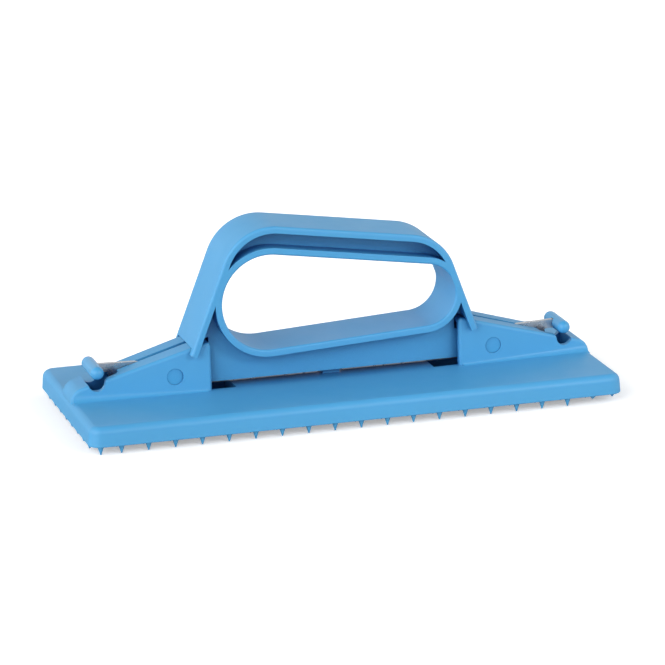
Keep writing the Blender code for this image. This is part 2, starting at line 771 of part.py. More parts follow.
def add_pin(side, name, parts, material):
    half = drafted_half(PIVOT[0] + PIN_RADIUS, PIVOT[1] + PIN_RADIUS) - PIN_RECESS
    mesh = cross_cylinder_mesh(name, PIN_RADIUS, half, 32)
    item = add_object(name, mesh, parts, (side * PIVOT[0], PIVOT[1]))
    bevel(item, PIN_CHAMFER, 1, "ANGLE")
    finish_part(item, material)


def main():
    clear_scene()
    parts = make_collection("scouring_pad_holder")
    tools = make_collection("cutters")
    tools.hide_render = True
    plastic = make_material("blue_plastic", BLUE, 0.42, 0.0)
    grip_plastic = make_material("grip_plastic", BLUE, 0.38, 0.0)
    steel = make_material("stainless_steel", STEEL, 0.32, 1.0)
    add_base_plate(parts, tools, plastic)
    add_handle(parts, tools, plastic)
    for side, word in ((-1, "left"), (1, "right")):
        add_lever(side, f"lever_{word}", parts, steel)
        add_grip(side, f"grip_{word}", parts, tools, grip_plastic)
        add_pin(side, f"pivot_pin_{word}", parts, grip_plastic)


main()
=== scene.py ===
import math

import bmesh
import bpy
from mathutils import Matrix, Vector


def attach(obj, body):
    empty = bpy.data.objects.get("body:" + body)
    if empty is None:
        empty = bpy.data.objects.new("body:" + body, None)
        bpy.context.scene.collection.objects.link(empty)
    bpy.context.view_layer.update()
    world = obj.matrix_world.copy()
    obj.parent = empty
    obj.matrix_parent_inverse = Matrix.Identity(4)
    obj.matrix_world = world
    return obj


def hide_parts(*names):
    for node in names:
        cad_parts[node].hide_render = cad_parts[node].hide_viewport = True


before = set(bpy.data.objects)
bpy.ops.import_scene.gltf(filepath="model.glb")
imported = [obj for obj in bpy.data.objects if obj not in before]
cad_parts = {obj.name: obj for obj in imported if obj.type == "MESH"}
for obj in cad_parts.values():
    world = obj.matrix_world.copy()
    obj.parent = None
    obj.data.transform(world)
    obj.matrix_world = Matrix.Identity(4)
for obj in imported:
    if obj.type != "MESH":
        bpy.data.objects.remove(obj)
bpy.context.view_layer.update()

# Sizes are in millimetres, angles in degrees, and heights are measured from the plate's rim
mm = 0.001
rimHeight = 3.6
gap = 0.3  # between pieces that slide or stand on each other
overlap = 2.0  # how far welded shapes run into each other
deep = 40.0  # how far cutting tools reach past what they cut

cameraSetup = {
    "place": (-436.785, -1494.81, 468.15),
    "right": (0.95799, -0.28625, -0.01763),
    "down": (-0.09393, -0.25508, -0.96235),
    "forward": (0.27098, 0.92358, -0.27125),
    "focalPixels": 3748.558, "imagePixels": 665, "sensor": 36.0, "clip": (0.05, 50.0),
}


def addCamera(setup):
    camera = bpy.data.cameras.new("camera")
    camera.sensor_width = setup["sensor"]
    camera.lens = setup["focalPixels"] * setup["sensor"] / setup["imagePixels"]
    camera.clip_start, camera.clip_end = setup["clip"]
    holder = addObject("camera", camera)
    right, down, forward = (Vector(setup[side]) for side in ("right", "down", "forward"))
    turned = Matrix((right, -down, -forward)).transposed().to_4x4()
    holder.matrix_world = Matrix.Translation(Vector(setup["place"]) * mm) @ turned
    bpy.context.scene.camera = holder


# Outlines, as lists of (across, height) points
def arc(centre, radius, start, end, steps):
    points = []
    for step in range(steps + 1):
        angle = math.radians(start + (end - start) * step / steps)
        points.append((centre[0] + radius * math.cos(angle), centre[1] + radius * math.sin(angle)))
    return points


def unit(across, height):
    length = math.hypot(across, height)
    return (across / length, height / length)


# A corner that turns clockwise, between two directions, with its arc moved inwards by the inset
def roundedCorner(corner, before, after, radius, inset, steps):
    turn = math.atan2(before[0] * after[1] - before[1] * after[0],
                      before[0] * after[0] + before[1] * after[1])
    reach = radius * math.tan(abs(turn) / 2.0)
    start = (corner[0] - before[0] * reach, corner[1] - before[1] * reach)
    inward = (before[1], -before[0])
    centre = (start[0] + inward[0] * radius, start[1] + inward[1] * radius)
    first = math.degrees(math.atan2(-inward[1], -inward[0]))
    return arc(centre, radius - inset, first, first + math.degrees(turn), steps)


def ordered(side, low, high):
    return (low, high) if side > 0 else (-high, -low)


def mirrored(points, side):
    return [(side * across, height) for across, height in points]


# Mesh tools
meshSetup = {
    "merge": 0.001, "screwMerge": 0.01, "outlineFlat": 0.05, "pieceFlat": 0.2,
    "bevelAngle": 40.0, "sharpAngle": 35.0, "normalWeight": 100,
}


def addObject(name, data):
    item = bpy.data.objects.new(name, data)
    bpy.context.scene.collection.objects.link(item)
    return item


def bakedMesh(item):
    graph = bpy.context.evaluated_depsgraph_get()
    mesh = bpy.data.meshes.new_from_object(item.evaluated_get(graph))
    mesh.transform(item.matrix_world)
    return mesh


def takeMesh(item):
    mesh = bakedMesh(item)
    bpy.data.objects.remove(item, do_unlink=True)
    return mesh


def bakeModifiers(item):
    mesh = bakedMesh(item)
    item.modifiers.clear()
    item.data = mesh


def newMesh(name, shape):
    mesh = bpy.data.meshes.new(name)
    shape.to_mesh(mesh)
    shape.free()
    return mesh


def editMesh(mesh, change):
    shape = bmesh.new()
    shape.from_mesh(mesh)
    change(shape)
    shape.to_mesh(mesh)
    shape.free()


def joinFlats(shape, angle):
    bmesh.ops.dissolve_limit(
        shape, angle_limit=math.radians(angle), verts=shape.verts, edges=shape.edges)


# A flat outline with its thickness across the plate, or along Z where it isn't upright
def outlineMesh(name, loops, depth, upright=True, lift=rimHeight):
    curve = bpy.data.curves.new(name, "CURVE")
    curve.dimensions = "2D"
    curve.fill_mode = "BOTH"
    curve.extrude = depth * mm / 2.0
    for loop in loops:
        spline = curve.splines.new("POLY")
        spline.points.add(len(loop) - 1)
        for point, (across, along) in zip(spline.points, loop):
            point.co = (across * mm, along * mm, 0.0, 1.0)
        spline.use_cyclic_u = True
    holder = addObject(name, curve)
    if upright:
        holder.rotation_euler = (math.radians(90.0), 0.0, 0.0)
    bpy.context.view_layer.update()
    mesh = takeMesh(holder)
    mesh.transform(Matrix.Translation((0.0, 0.0, lift * mm)))

    def clean(shape):
        bmesh.ops.remove_doubles(shape, verts=shape.verts, dist=meshSetup["merge"] * mm)
        if len(loops) == 1:
            joinFlats(shape, meshSetup["outlineFlat"])
        bmesh.ops.recalc_face_normals(shape, faces=shape.faces)

    editMesh(mesh, clean)
    return mesh


# A solid through closed sections of equal length
def stackedMesh(name, sections):
    shape = bmesh.new()
    rings = [[shape.verts.new([value * mm for value in point]) for point in section]
             for section in sections]
    for first, second in zip(rings, rings[1:]):
        for index in range(len(first)):
            after = (index + 1) % len(first)
            shape.faces.new((first[index], first[after], second[after], second[index]))
    shape.faces.new(rings[0])
    shape.faces.new(rings[-1])
    bmesh.ops.recalc_face_normals(shape, faces=shape.faces)
    return newMesh(name, shape)


def boxesMesh(name, boxes):
    shape = bmesh.new()
    for ranges in boxes:
        centre = Vector([(low + high) / 2.0 for low, high in ranges]) + Vector((0.0, 0.0, rimHeight))
        size = [(high - low) * mm for low, high in ranges]
        matrix = Matrix.Translation(centre * mm) @ Matrix.Diagonal((*size, 1.0))
        bmesh.ops.create_cube(shape, size=1.0, matrix=matrix)
    return newMesh(name, shape)


# Turns (radius, height) points about Z, then places the result
def turnedMesh(name, profile, steps, matrix):
    shape = bmesh.new()
    line = [shape.verts.new((max(radius, 0.0) * mm, 0.0, height * mm)) for radius, height in profile]
    for pair in zip(line, line[1:]):
        shape.edges.new(pair)
    item = addObject(name, newMesh(name, shape))
    screw = item.modifiers.new("turned", "SCREW")
    screw.steps = steps
    screw.render_steps = steps
    screw.use_merge_vertices = True
    screw.merge_threshold = meshSetup["screwMerge"] * mm
    screw.use_normal_calculate = True
    turned = takeMesh(item)
    turned.transform(matrix)
    return turned


def bevelEdges(item, width, segments, method="ANGLE"):
    modifier = item.modifiers.new("edges", "BEVEL")
    modifier.width = width * mm
    modifier.segments = segments
    modifier.limit_method = method
    modifier.angle_limit = math.radians(meshSetup["bevelAngle"])
    modifier.use_clamp_overlap = True
    bakeModifiers(item)


def combine(item, mesh, operation):
    tool = addObject("tool", mesh)
    modifier = item.modifiers.new("cut", "BOOLEAN")
    modifier.operation = operation
    modifier.object = tool
    modifier.solver = "MANIFOLD"
    bakeModifiers(item)
    bpy.data.objects.remove(tool, do_unlink=True)


def cut(item, mesh):
    combine(item, mesh, "DIFFERENCE")


def weld(item, mesh):
    combine(item, mesh, "UNION")


# Joins the strips that cuts leave on flat faces, so that they shade evenly, and fits the piece out
def finishPiece(item, body, nodes, material, sharp=meshSetup["sharpAngle"]):
    editMesh(item.data, lambda shape: joinFlats(shape, meshSetup["pieceFlat"]))
    item.data.materials.clear()
    item.data.materials.append(material)
    item.data.shade_smooth()
    item.data.set_sharp_from_angle(angle=math.radians(sharp))
    weighted = item.modifiers.new("normals", "WEIGHTED_NORMAL")
    weighted.mode = "FACE_AREA"
    weighted.weight = meshSetup["normalWeight"]
    weighted.keep_sharp = True
    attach(item, body)
    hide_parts(*nodes)


# Nodes, in a material's tree, a group or the world
def feed(tree, socket, value):
    if isinstance(value, bpy.types.NodeSocket):
        tree.links.new(value, socket)
    else:
        socket.default_value = value


def mathNode(tree, operation, first, second):
    node = tree.nodes.new("ShaderNodeMath")
    node.operation = operation
    feed(tree, node.inputs[0], first)
    feed(tree, node.inputs[1], second)
    return node.outputs["Value"]


def mixNode(tree, kind, factor, first, second, blend="MIX"):
    node = tree.nodes.new("ShaderNodeMix")
    node.data_type = kind
    node.blend_type = blend
    for label, value in (("Factor", factor), ("A", first), ("B", second)):
        feed(tree, node.inputs[label], value)
    return node.outputs["Result"]


def axisNode(tree, vector, axis):
    node = tree.nodes.new("ShaderNodeSeparateXYZ")
    tree.links.new(vector, node.inputs["Vector"])
    return node.outputs[axis]


def noiseNode(tree, vector, grain):
    node = tree.nodes.new("ShaderNodeTexNoise")
    for label, value in zip(("Scale", "Detail", "Roughness"), grain):
        node.inputs[label].default_value = value
    tree.links.new(vector, node.inputs["Vector"])
    return node.outputs["Fac"]


def rangeNode(tree, value, limits):
    node = tree.nodes.new("ShaderNodeMapRange")
    for label, limit in zip(("From Min", "From Max", "To Min", "To Max"), limits):
        node.inputs[label].default_value = limit
    tree.links.new(value, node.inputs["Value"])
    return node.outputs["Result"]


def shadeNode(tree, colour, value):
    node = tree.nodes.new("ShaderNodeHueSaturation")
    tree.links.new(colour, node.inputs["Color"])
    tree.links.new(value, node.inputs["Value"])
    return node.outputs["Color"]


def bumpNode(tree, height, bump, below=None):
    node = tree.nodes.new("ShaderNodeBump")
    node.inputs["Distance"].default_value = bump["height"] * mm
    node.inputs["Strength"].default_value = bump["strength"]
    tree.links.new(height, node.inputs["Height"])
    if below:
        tree.links.new(below, node.inputs["Normal"])
    return node.outputs["Normal"]


# Noises are (scale, detail, roughness), and ranges are (from low, from high, to low, to high)
plasticSurface = {
    "colour": (0.065, 0.32, 0.6, 1.0), "roughness": 0.42,
    "flow": (14.0, 3.0, 0.5), "shade": (0.3, 0.7, 0.97, 1.03),
    "smudge": (45.0, 4.0, 0.6), "spread": (0.3, 0.7, -0.04, 0.05),
    "wave": (60.0, 2.0, 0.4), "waveBump": {"height": 0.08, "strength": 0.6},
    "grain": (2600.0, 2.0, 0.5), "grainBump": {"height": 0.02, "strength": 0.5},
    # Painted shade: ambient occlusion darkens creases, recesses and the gaps between parts towards a
    # deep blue tint, and fades out below the rim
    "paintedShadeReach": 30.0, "paintedShadeSamples": 8, "paintedShadeRange": (0.18, 0.48, 0.0, 1.0),
    "paintedShadeTint": (0.14, 0.32, 0.54, 1.0), "unshadedTint": (1.0, 1.0, 1.0, 1.0),
    "undersideFade": 0.5,
    "shader": {  # the shader's own inputs, in metres
        "IOR": 1.49, "Subsurface Weight": 0.12, "Subsurface Radius": (0.3, 0.8, 1.2),
        "Subsurface Scale": 0.0012,
    },
}
gripSurface = {**plasticSurface, "roughness": 0.24}
steelSurface = {
    "colour": (0.62, 0.63, 0.65, 1.0), "roughness": 0.28,
    "stretch": (12.0, 1500.0, 1500.0), "brush": (1.0, 3.0, 0.6), "shade": (0.25, 0.75, 0.9, 1.06),
    "stain": (220.0, 3.0, 0.6), "spread": (0.3, 0.7, -0.06, 0.1),
    "brushBump": {"height": 0.006, "strength": 0.6},
    "shader": {"Metallic": 1.0},
}


def makeGroup(name):
    group = bpy.data.node_groups.new(name, "ShaderNodeTree")
    for label, kind, direction in (
            ("Colour", "NodeSocketColor", "INPUT"), ("Roughness", "NodeSocketFloat", "INPUT"),
            ("Colour", "NodeSocketColor", "OUTPUT"), ("Roughness", "NodeSocketFloat", "OUTPUT"),
            ("Normal", "NodeSocketVector", "OUTPUT")):
        group.interface.new_socket(label, in_out=direction, socket_type=kind)
    inside = group.nodes.new("NodeGroupInput")
    outside = group.nodes.new("NodeGroupOutput")
    place = group.nodes.new("ShaderNodeTexCoord")
    return group, inside.outputs, outside.inputs, place.outputs["Object"]


# Moulded plastic: slow changes of tone, faint waves and grain, and painted shade, a deeper blue where
# ambient occlusion finds creases, recesses and gaps
def makePlasticGroup(setup):
    group, given, result, place = makeGroup("mouldedPlastic")
    shade = rangeNode(group, noiseNode(group, place, setup["flow"]), setup["shade"])
    tinted = shadeNode(group, given["Colour"], shade)
    # Painted shade: ambient occlusion measures how closed in each point is
    occlusion = group.nodes.new("ShaderNodeAmbientOcclusion")
    occlusion.samples = setup["paintedShadeSamples"]
    occlusion.inputs["Distance"].default_value = setup["paintedShadeReach"] * mm
    opened = rangeNode(group, occlusion.outputs["AO"], setup["paintedShadeRange"])
    # Below the rim the painted shade fades out, and the plastic keeps its own colour
    fade = (rimHeight * mm, (rimHeight + setup["undersideFade"]) * mm, 1.0, 0.0)
    opened = mathNode(group, "MAXIMUM", opened, rangeNode(group, axisNode(group, place, "Z"), fade))
    # The painted shade tint multiplies the colour where ambient occlusion is low
    darkenedByShade = mixNode(group, "RGBA", opened, setup["paintedShadeTint"], setup["unshadedTint"])
    colourWithShade = mixNode(group, "RGBA", 1.0, tinted, darkenedByShade, "MULTIPLY")
    group.links.new(colourWithShade, result["Colour"])
    spread = rangeNode(group, noiseNode(group, place, setup["smudge"]), setup["spread"])
    group.links.new(mathNode(group, "ADD", given["Roughness"], spread), result["Roughness"])
    wave = bumpNode(group, noiseNode(group, place, setup["wave"]), setup["waveBump"])
    grain = bumpNode(group, noiseNode(group, place, setup["grain"]), setup["grainBump"], wave)
    group.links.new(grain, result["Normal"])
    return group


# Brushed steel: a noise drawn out along the blade, and faint stains
def makeSteelGroup(setup):
    group, given, result, place = makeGroup("brushedSteel")
    stretch = group.nodes.new("ShaderNodeMapping")
    stretch.inputs["Scale"].default_value = setup["stretch"]
    group.links.new(place, stretch.inputs["Vector"])
    brush = noiseNode(group, stretch.outputs["Vector"], setup["brush"])
    shade = rangeNode(group, brush, setup["shade"])
    group.links.new(shadeNode(group, given["Colour"], shade), result["Colour"])
    spread = rangeNode(group, noiseNode(group, place, setup["stain"]), setup["spread"])
    group.links.new(mathNode(group, "ADD", given["Roughness"], spread), result["Roughness"])
    group.links.new(bumpNode(group, brush, setup["brushBump"]), result["Normal"])
    return group


def makeMaterial(name, group, setup):
    material = bpy.data.materials.new(name)
    material.use_nodes = True
    tree = material.node_tree
    shader = tree.nodes["Principled BSDF"]
    look = tree.nodes.new("ShaderNodeGroup")
    look.node_tree = group
    for label in ("Colour", "Roughness"):
        look.inputs[label].default_value = setup[label.lower()]
    tree.links.new(look.outputs["Colour"], shader.inputs["Base Color"])
    tree.links.new(look.outputs["Roughness"], shader.inputs["Roughness"])
    tree.links.new(look.outputs["Normal"], shader.inputs["Normal"])
    for label, value in setup["shader"].items():
        shader.inputs[label].default_value = value
    return material


# Plate with its spikes, housings and post
plateSizes = {
    "length": 235.0, "width": 98.0, "height": 8.5, "draft": 0.55, "corner": 5.2, "cornerSteps": 12,
    "edge": 3.0, "edgeSteps": 8, "bottomEdge": 0.35,
    "skin": 3.0, "rib": 3.2, "ribEvery": 3,
    "postHalf": (3.75, 3.0), "postTop": 17.0,
}
spikeSizes = {
    "height": 3.6, "base": 1.5, "tip": 0.35, "sides": 14, "steps": 6, "curve": 0.85,
    "root": 0.4, "rootFlare": 0.15, "collar": 0.05, "collarFlare": 0.1,
    "shoulder": 0.3, "pointShare": 0.75, "pointHeight": 0.08,
    "pitchX": 11.55, "pitchY": 10.85, "endInset": 2.0, "cornerInset": 4.67, "sideInset": 2.145,
    # Shares of full width and height, of the two worn spikes and of the end columns
    "worn": {103.95: (1.29, 0.42), 112.83: (0.9, 0.4)}, "endHeight": 0.86,
}
housingSizes = {
    "inner": 55.4, "half": 11.1, "taper": 0.055, "draft": 0.04, "wall": 2.6, "top": 30.1,
    "slope": 0.285, "round": 1.4, "roundSteps": 10, "corner": 1.7, "cornerSteps": 8,
    "noseCentre": (109.9, 7.8), "noseRadius": 6.5, "noseSteps": 24,
    "openingInner": 44.4, "openingOuter": 100.3, "coreOuter": 110.5, "coreTop": 6.0,
    "wellOuter": 108.3, "slotInner": 63.0, "slotFloor": 13.4,
    "pocketLength": 5.7, "pocketHalf": 6.0, "pocketRound": 2.4, "pocketSteps": 8,
    "lipRound": 2.0, "lipSteps": 10,
    "coveInner": 1.2, "coveOuter": 3.2, "coveSections": 4, "coveSteps": 10,
    "coveBite": 0.03, "coveRoot": 1.0,
}


def spikeLines(pitch, offset, outermost):
    count = math.floor(outermost / pitch + 0.5 - offset)
    lines = [pitch * (step + offset) for step in range(count)] + [outermost]
    return sorted({-line for line in lines} | set(lines))


def spikeColumns(inset):
    return spikeLines(spikeSizes["pitchX"], 0.0, plateSizes["length"] / 2.0 - inset)


def spikeRows():
    return spikeLines(spikeSizes["pitchY"], 0.5, plateSizes["width"] / 2.0 - spikeSizes["sideInset"])


def openingHalf():
    return housingSizes["half"] - housingSizes["wall"]


def plateBody():
    size = plateSizes
    x = size["length"] / 2.0 - size["corner"]
    y = size["width"] / 2.0 - size["corner"]
    outline = []
    for turn, centre in enumerate(((x, y), (-x, y), (-x, -y), (x, -y))):
        start = turn * 90.0
        outline += arc(centre, size["corner"], start, start + 90.0, size["cornerSteps"])
    middle = size["height"] / 2.0 + rimHeight
    mesh = outlineMesh("plate", [outline], size["height"], upright=False, lift=middle)
    for vertex in mesh.vertices:
        if vertex.co.z > middle * mm:
            vertex.co.x *= 1.0 - 2.0 * size["draft"] / size["length"]
            vertex.co.y *= 1.0 - 2.0 * size["draft"] / size["width"]

    def weigh(shape):
        layer = shape.edges.layers.float.new("bevel_weight_edge")
        for edge in shape.edges:
            first, second = (vertex.co.z / mm for vertex in edge.verts)
            if abs(first - second) < size["height"] / 2.0:
                edge[layer] = 1.0 if first > middle else size["bottomEdge"] / size["edge"]

    editMesh(mesh, weigh)
    item = addObject("spiked_plate", mesh)
    bevelEdges(item, size["edge"], size["edgeSteps"], "WEIGHT")
    return item


def gapsBetween(lines):
    half = plateSizes["rib"] / 2.0
    return [(low + half, high - half) for low, high in zip(lines, lines[1:])]


# The hollows below the plate, clear of the openings under the housings
def cellBoxes():
    end = plateSizes["length"] / 2.0 - spikeSizes["cornerInset"]
    ribs = spikeLines(spikeSizes["pitchX"] * plateSizes["ribEvery"], 0.0, end)
    inner = housingSizes["openingInner"]
    rim = openingHalf() + plateSizes["rib"]
    top = plateSizes["height"] - plateSizes["skin"]
    boxes = []
    for xLow, xHigh in gapsBetween(ribs):
        for yLow, yHigh in gapsBetween(spikeRows()):
            beside = max(abs(xLow), abs(xHigh)) > inner
            if beside and yLow < 0.0 < yHigh:
                if min(abs(xLow), abs(xHigh)) > inner:
                    continue
                limit = inner - plateSizes["rib"]
                xLow, xHigh = max(xLow, -limit), min(xHigh, limit)
            if beside and 0.0 < yLow < rim:
                yLow = rim
            if beside and -rim < yHigh < 0.0:
                yHigh = -rim
            boxes.append(((xLow, xHigh), (yLow, yHigh), (-overlap, top)))
    return boxes


def spikeProfile():
    size = spikeSizes
    base, tip, height = size["base"], size["tip"], size["height"]
    profile = [(0.0, size["root"]), (base + size["rootFlare"], size["root"]),
               (base + size["collarFlare"], size["collar"])]
    for step in range(1, size["steps"] + 1):
        share = step / size["steps"]
        radius = base + (tip - base) * share ** size["curve"]
        profile.append((radius, -share * (height - size["shoulder"])))
    return profile + [(tip * size["pointShare"], -height + size["pointHeight"]), (0.0, -height)]


def spikeMesh():
    size = spikeSizes
    one = turnedMesh("spike", spikeProfile(), size["sides"], Matrix.Identity(4))
    shape = bmesh.new()
    rows = spikeRows()
    for along in rows:
        edgeRow = along in (rows[0], rows[-1])
        for across in spikeColumns(size["cornerInset"] if edgeRow else size["endInset"]):
            underHousing = housingSizes["openingInner"] < abs(across) < housingSizes["coreOuter"]
            if underHousing and abs(along) < openingHalf():
                continue
            wide, tall = 1.0, 1.0
            if along == rows[0]:
                wide, tall = size["worn"].get(round(across, 2), (1.0, 1.0))
            if abs(across) > plateSizes["length"] / 2.0 - size["cornerInset"] + gap:
                tall = size["endHeight"]
            copy = one.copy()
            place = Matrix.Translation((across * mm, along * mm, rimHeight * mm))
            copy.transform(place @ Matrix.Diagonal((wide, wide, tall, 1.0)))
            shape.from_mesh(copy)
            bpy.data.meshes.remove(copy)
    return newMesh("spikes", shape)


def housingTop(across):
    return housingSizes["top"] - housingSizes["slope"] * (across - housingSizes["inner"])


def housingHalf(across):
    return housingSizes["half"] - housingSizes["taper"] * (across - housingSizes["inner"])


def draftedHalf(across, height):
    return housingHalf(across) + housingSizes["draft"] * (housingSizes["top"] - height)


def housingCeiling(across):
    return housingTop(across) - housingSizes["wall"] * math.hypot(1.0, housingSizes["slope"])


# Draws a straight shape of the given half width in and out, to follow a housing's walls
def taper(mesh, half):
    narrower = housingSizes["half"] - half
    for vertex in mesh.vertices:
        wall = draftedHalf(abs(vertex.co.x) / mm, vertex.co.z / mm - rimHeight)
        vertex.co.y *= (wall - narrower) / half
    return mesh


def housingOutline(inset):
    size = housingSizes
    foot = plateSizes["height"] - overlap
    corner = roundedCorner((size["inner"], size["top"]), (0.0, 1.0), unit(1.0, -size["slope"]),
                           size["corner"], inset, size["cornerSteps"])
    slope = math.degrees(math.atan(size["slope"]))
    nose = arc(size["noseCentre"], size["noseRadius"] - inset, 90.0 - slope, 0.0, size["noseSteps"])
    return [(size["inner"] + inset, foot)] + corner + nose + [(nose[-1][0], foot)]


# The outline is stacked across the plate, and drawn in at both faces to round the edges
def housingMesh(side):
    size = housingSizes
    steps = size["roundSteps"]
    halves = []
    for step in range(steps + 1):
        angle = math.pi / 2.0 * step / steps
        halves.append((size["half"] - size["round"] * (1.0 - math.sin(angle)),
                       size["round"] * (1.0 - math.cos(angle))))
    halves = [(-along, inset) for along, inset in reversed(halves)] + halves
    sections = [[(across, along, height + rimHeight)
                 for across, height in mirrored(housingOutline(inset), side)]
                for along, inset in halves]
    return taper(stackedMesh("housing", sections), size["half"])


# The fillet between a housing's side and the plate, growing towards the nose
def coveMesh(side, face):
    size = housingSizes
    start, end = size["inner"] + size["corner"], size["noseCentre"][0] + size["noseRadius"]
    top = plateSizes["height"]
    sections = []
    for section in range(size["coveSections"] + 1):
        share = section / size["coveSections"]
        along = start + (end - start) * share
        radius = size["coveInner"] + (size["coveOuter"] - size["coveInner"]) * share
        wall = draftedHalf(along, top) - size["coveBite"]
        root = wall - size["coveRoot"]
        outline = [(root, top - overlap), (root, top + radius)]
        outline += arc((wall + radius, top + radius), radius, 180.0, 270.0, size["coveSteps"])
        outline.append((wall + radius, top - overlap))
        sections.append([
            (side * along, face * (across - size["draft"] * (height - top)), height + rimHeight)
            for across, height in outline])
    cove = addObject("cove", stackedMesh("cove", sections))
    limit = mirrored(housingOutline(size["round"] / 2.0), side)
    combine(cove, outlineMesh("limit", [limit], size["half"] * 4.0), "INTERSECT")
    return takeMesh(cove)


def hollowHousing(item, side):
    size = housingSizes
    half = openingHalf()
    low, high = size["openingInner"], size["openingOuter"]
    outline = [(low, -deep), (high, -deep), (high, housingCeiling(high)), (low, housingCeiling(low))]
    cut(item, taper(outlineMesh("interior", [mirrored(outline, side)], half * 2.0), half))
    for name, reach, heights in (
            ("core", (high + size["wall"], size["coreOuter"]), (-deep, size["coreTop"])),
            ("well", (high - gap, size["wellOuter"]), (plateSizes["height"], deep))):
        box = (ordered(side, *reach), (-half, half), heights)
        cut(item, taper(boxesMesh(name, [box]), half))


def boreRadius():
    return pinSizes["radius"] + pinSizes["boreGap"]


def slotHalf():
    return leverSizes["blade"] / 2.0 + leverSizes["bladeGap"]


def bearingMeshes(side):
    pivot = pinSizes["pivot"]
    radius = boreRadius() + pinSizes["bearingWall"]
    low, high = pivot[0] - radius, pivot[0] + radius
    raised = housingSizes["wall"] / 2.0
    outline = arc(pivot, radius, 180.0, 360.0, pinSizes["bearingSteps"]) + [
        (high, housingCeiling(high) + raised), (low, housingCeiling(low) + raised)]
    half = (openingHalf() + raised / 2.0 - slotHalf()) / 2.0
    for face in (-1, 1):
        mesh = outlineMesh("bearing", [mirrored(outline, side)], half * 2.0)
        mesh.transform(Matrix.Translation((0.0, face * (slotHalf() + half) * mm, 0.0)))
        yield mesh


# The notch that a pressed crossbar goes down into
def notchMesh(side):
    pivot, grip = pinSizes["pivot"], gripSizes["centre"]
    radius = gripSizes["radius"] + gripSizes["notchGap"]
    centre = (pivot[0] + math.hypot(grip[0] - pivot[0], grip[1] - pivot[1]), pivot[1])
    inner, outer = centre[0] - radius, centre[0] + radius
    soft = housingSizes["lipRound"]
    lip = (inner - soft, housingTop(inner - soft) - soft)
    top = housingTop(inner) + deep
    outline = arc(centre, radius, 180.0, 360.0, gripSizes["notchSteps"]) + [(outer, top), (lip[0], top)]
    outline += arc(lip, soft, 90.0, 0.0, housingSizes["lipSteps"])
    return outlineMesh("notch", [mirrored(outline, side)], (housingSizes["half"] + overlap) * 2.0)


def crossPin(name, radius, half, edge):
    turn = Matrix.Rotation(math.radians(90.0), 4, "X")
    steps = pinSizes["edgeSteps"]
    profile = [(0.0, half)] + arc((radius - edge, half - edge), edge, 90.0, 0.0, steps)
    profile += arc((radius - edge, -half + edge), edge, 0.0, -90.0, steps) + [(0.0, -half)]
    return turnedMesh(name, profile, pinSizes["sides"], turn)


def atPivot(mesh, side):
    pivot = pinSizes["pivot"]
    mesh.transform(Matrix.Translation((side * pivot[0] * mm, 0.0, (pivot[1] + rimHeight) * mm)))
    return mesh


def slotHousing(item, side):
    size = housingSizes
    cut(item, notchMesh(side))
    half = slotHalf()
    outer, floor = size["openingOuter"], size["slotFloor"]
    slot = (ordered(side, size["slotInner"], outer + size["wall"]), (-half, half), (floor, deep))
    cut(item, boxesMesh("slot", [slot]))
    reach, soft = size["pocketHalf"], size["pocketRound"]
    inner = outer - size["pocketLength"]
    pocket = arc((inner + soft, reach - soft), soft, 90.0, 180.0, size["pocketSteps"])
    pocket += arc((inner + soft, soft - reach), soft, 180.0, 270.0, size["pocketSteps"])
    pocket += [(outer, -reach), (outer, reach)]
    cut(item, outlineMesh("pocket", [mirrored(pocket, side)], deep - floor, upright=False,
                          lift=(floor + deep) / 2.0 + rimHeight))
    bore = crossPin("bore", boreRadius(), size["half"] + overlap, pinSizes["boreEdge"])
    cut(item, atPivot(bore, side))


def makePlate(material):
    item = plateBody()
    cut(item, boxesMesh("cells", cellBoxes()))
    for side in (-1, 1):
        weld(item, housingMesh(side))
        for face in (-1, 1):
            weld(item, coveMesh(side, face))
        hollowHousing(item, side)
        for bearing in bearingMeshes(side):
            weld(item, bearing)
        slotHousing(item, side)
    (x, y), foot = plateSizes["postHalf"], plateSizes["height"] - overlap
    weld(item, boxesMesh("post", [((-x, x), (-y, y), (foot, plateSizes["postTop"]))]))
    spikes = spikeMesh()
    editMesh(item.data, lambda shape: shape.from_mesh(spikes))
    finishPiece(item, "body", ["base_plate"], material)
    print("plate:", len(item.data.polygons), "faces")


# Handle, whose legs are (distance from the middle at rim height, lean) on each side
handleSizes = {
    "half": 14.3, "band": 3.0, "strapRound": 1.3, "ringRound": 1.0, "backRound": 0.15,
    "roundSteps": 5, "steps": 56,
    "legs": {-1: (74.9, 0.393), 1: (72.4, 0.36)}, "foot": 25.3,
    "strapTop": 74.55, "strapSlope": 0.15, "leftRound": 22.8, "rightRound": 22.5,
    "leftCentre": (-29.8, 45.5), "leftRadius": 20.8, "rightCentre": (39.6, 42.2), "rightRadius": 13.7,
    "webHalf": 6.0, "webSkin": 2.4, "webBottom": 10.8, "webCeiling": 21.0,
    "tongueEnd": 61.7, "tongueTop": 23.7, "barbStart": 59.9, "barbTop": 25.1,
}


def legCorner(side):
    atRim, lean = handleSizes["legs"][side]
    slope = handleSizes["strapSlope"]
    top = (handleSizes["strapTop"] - side * slope * atRim) / (1.0 - side * slope * lean)
    return (side * (atRim - lean * top), top)


def legFoot(side, inset):
    atRim, lean = handleSizes["legs"][side]
    foot = handleSizes["foot"]
    up = unit(lean, 1.0)
    return (side * (atRim - lean * foot - inset * up[1]), foot - inset * up[0])


def strapPath(inset):
    size = handleSizes
    up = unit(size["legs"][-1][1], 1.0)
    along = unit(1.0, -size["strapSlope"])
    down = unit(size["legs"][1][1], -1.0)
    left = roundedCorner(legCorner(-1), up, along, size["leftRound"], inset, size["steps"])
    right = roundedCorner(legCorner(1), along, down, size["rightRound"], inset, size["steps"])
    return [legFoot(-1, inset)] + left + right + [legFoot(1, inset)]


